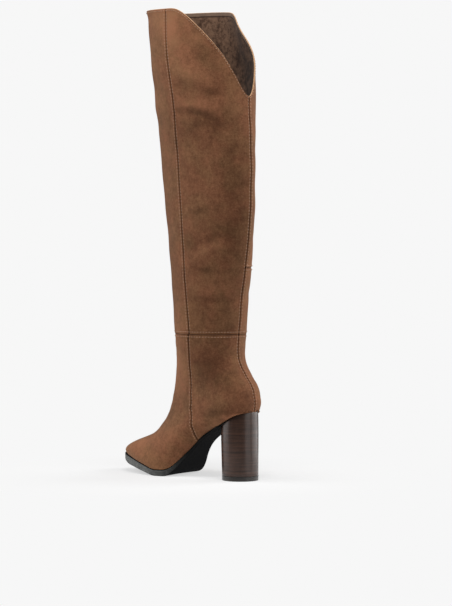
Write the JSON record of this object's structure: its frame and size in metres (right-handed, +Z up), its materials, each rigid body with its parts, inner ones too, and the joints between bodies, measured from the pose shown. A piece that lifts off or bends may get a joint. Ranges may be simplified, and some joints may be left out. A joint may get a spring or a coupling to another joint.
{
  "type": "over-the-knee block heel boot",
  "caption": "Tall pull-on suede boot for a left foot, with a deep V notch at the back of its collar, a thin outsole and a high round stacked block heel.",
  "frame": {"origin": "centre of the boot's box, on the floor plane that the heel and the ball of the sole stand on", "axes": "+Z up along the leg, -Y towards the toe, +X towards the outer side of the left foot"},
  "size_m": [0.1134, 0.2326, 0.6108],
  "materials": {
    "suede": "brushed suede nap, matt",
    "sole_rubber": "satin black",
    "footbed": "matt lining leather",
    "stacked_heel": "polished stacked layers",
    "top_lift_rubber": "satin dark brown"
  },
  "bodies": {
    "root": {"upper": "suede", "shaft": "suede", "outsole": "sole_rubber", "insole": "footbed", "heel": "stacked_heel", "top_lift": "top_lift_rubber"}
  },
  "joints": []
}
